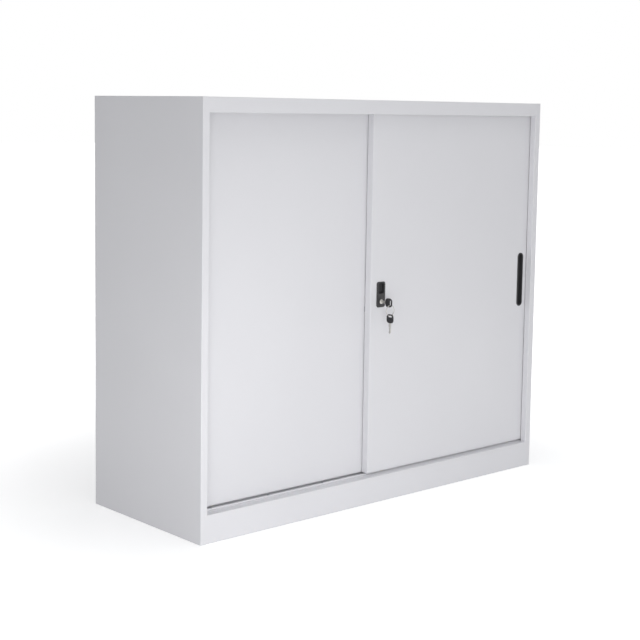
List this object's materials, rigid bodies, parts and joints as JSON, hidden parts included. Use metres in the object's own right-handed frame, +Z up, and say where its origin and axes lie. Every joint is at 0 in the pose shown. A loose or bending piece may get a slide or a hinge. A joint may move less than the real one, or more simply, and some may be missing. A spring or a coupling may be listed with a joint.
{
  "type": "sliding door cabinet",
  "caption": "Low steel storage cabinet with two doors sliding in separate tracks, adjustable shelves inside, a flush pull, and a cam lock with a key and a hanging spare",
  "frame": {"origin": "On the floor, under the middle of the whole object, the keys in front included, so 14.2 mm in front of the middle of the carcass's depth", "axes": "+X to the right as seen from the front, +Y to the back, +Z up"},
  "size_m": [1.2, 0.4784, 1.05],
  "materials": {
    "powder_coat": "light cool grey powder coat, satin with a very fine orange peel",
    "zinc": "zinc plated",
    "nickel": "nickel plated, lightly worn",
    "black_zinc": "die-cast zinc, black coated, satin",
    "black_plastic": "moulded, fine matt texture",
    "nylon": "natural nylon, slightly waxy",
    "rubber": "moulded black rubber"
  },
  "bodies": {
    "carcass": {"left_side_panel": "powder_coat", "right_side_panel": "powder_coat", "back_panel": "powder_coat", "top_panel": "powder_coat", "floor_panel": "powder_coat", "front_plinth": "powder_coat", "top_track": "powder_coat", "bottom_track": "powder_coat", "front_left_upright": "powder_coat", "rear_left_upright": "powder_coat", "front_right_upright": "powder_coat", "rear_right_upright": "powder_coat", "lower_shelf": "powder_coat", "upper_shelf": "powder_coat", "lower_front_left_clip": "zinc", "lower_rear_left_clip": "zinc", "lower_front_right_clip": "zinc", "lower_rear_right_clip": "zinc", "upper_front_left_clip": "zinc", "upper_rear_left_clip": "zinc", "upper_front_right_clip": "zinc", "upper_rear_right_clip": "zinc", "left_lower_buffer": "rubber", "left_upper_buffer": "rubber", "right_lower_buffer": "rubber", "right_upper_buffer": "rubber"},
    "left_door": {"left_door_pan": "powder_coat", "left_door_stiffener": "powder_coat", "left_door_outer_bracket": "zinc", "left_door_inner_bracket": "zinc", "left_door_outer_axle": "zinc", "left_door_inner_axle": "zinc", "left_door_outer_guide": "nylon", "left_door_inner_guide": "nylon", "keeper": "zinc"},
    "right_door": {"right_door_pan": "powder_coat", "right_door_stiffener": "powder_coat", "right_door_outer_bracket": "zinc", "right_door_inner_bracket": "zinc", "right_door_outer_axle": "zinc", "right_door_inner_axle": "zinc", "right_door_outer_guide": "nylon", "right_door_inner_guide": "nylon", "flush_handle": "black_plastic", "lock_housing": "black_plastic", "lock_barrel": "black_zinc", "lock_nut": "zinc"},
    "left_door_outer_wheel": {"left_door_outer_roller": "nylon"},
    "left_door_inner_wheel": {"left_door_inner_roller": "nylon"},
    "right_door_outer_wheel": {"right_door_outer_roller": "nylon"},
    "right_door_inner_wheel": {"right_door_inner_roller": "nylon"},
    "lock_cylinder": {"lock_plug": "nickel", "lock_cam": "zinc", "cam_screw": "zinc"},
    "key": {"key_blade": "nickel", "key_bow": "black_plastic"},
    "ring": {"key_ring": "nickel"},
    "spare_key": {"spare_key_blade": "nickel", "spare_key_bow": "black_plastic"}
  },
  "joints": [
    {"name": "left_door_slide", "type": "slide", "parent": "carcass", "child": "left_door", "axis": [1, 0, 0], "range_m": [0, 0.548]},
    {"name": "right_door_slide", "type": "slide", "parent": "carcass", "child": "right_door", "axis": [-1, 0, 0], "range_m": [0, 0.548]},
    {"name": "left_door_outer_roll", "type": "hinge", "parent": "left_door", "child": "left_door_outer_wheel", "pos_m": [-0.528, -0.15785, 0.0843], "axis": [0, 1, 0], "continuous": true},
    {"name": "left_door_inner_roll", "type": "hinge", "parent": "left_door", "child": "left_door_inner_wheel", "pos_m": [-0.02, -0.15785, 0.0843], "axis": [0, 1, 0], "continuous": true},
    {"name": "right_door_inner_roll", "type": "hinge", "parent": "right_door", "child": "right_door_inner_wheel", "pos_m": [0.02, -0.18085, 0.0843], "axis": [0, 1, 0], "continuous": true},
    {"name": "right_door_outer_roll", "type": "hinge", "parent": "right_door", "child": "right_door_outer_wheel", "pos_m": [0.528, -0.18085, 0.0843], "axis": [0, 1, 0], "continuous": true},
    {"name": "lock_turn", "type": "hinge", "parent": "right_door", "child": "lock_cylinder", "pos_m": [-0.004, -0.19085, 0.529], "axis": [0, 1, 0], "range_deg": [0, 90]},
    {"name": "key_pull", "type": "slide", "parent": "lock_cylinder", "child": "key", "axis": [0, -1, 0], "range_m": [0, 0.014]},
    {"name": "key_ring_hang", "type": "hinge", "parent": "key", "child": "ring", "pos_m": [-0.004, -0.22765, 0.51975], "axis": [0, 1, 0], "range_deg": [-90, 0]},
    {"name": "spare_key_swing", "type": "hinge", "parent": "ring", "child": "spare_key", "pos_m": [-0.004, -0.22765, 0.4954], "axis": [1, 0, 0], "range_deg": [-35, 35]}
  ],
  "couplings": [
    {"joint": "left_door_outer_roll", "follows": "left_door_slide", "rad_per_m": 100},
    {"joint": "left_door_inner_roll", "follows": "left_door_slide", "rad_per_m": 100},
    {"joint": "right_door_inner_roll", "follows": "right_door_slide", "rad_per_m": -100},
    {"joint": "right_door_outer_roll", "follows": "right_door_slide", "rad_per_m": -100},
    {"joint": "key_ring_hang", "follows": "lock_turn", "ratio": -1}
  ]
}
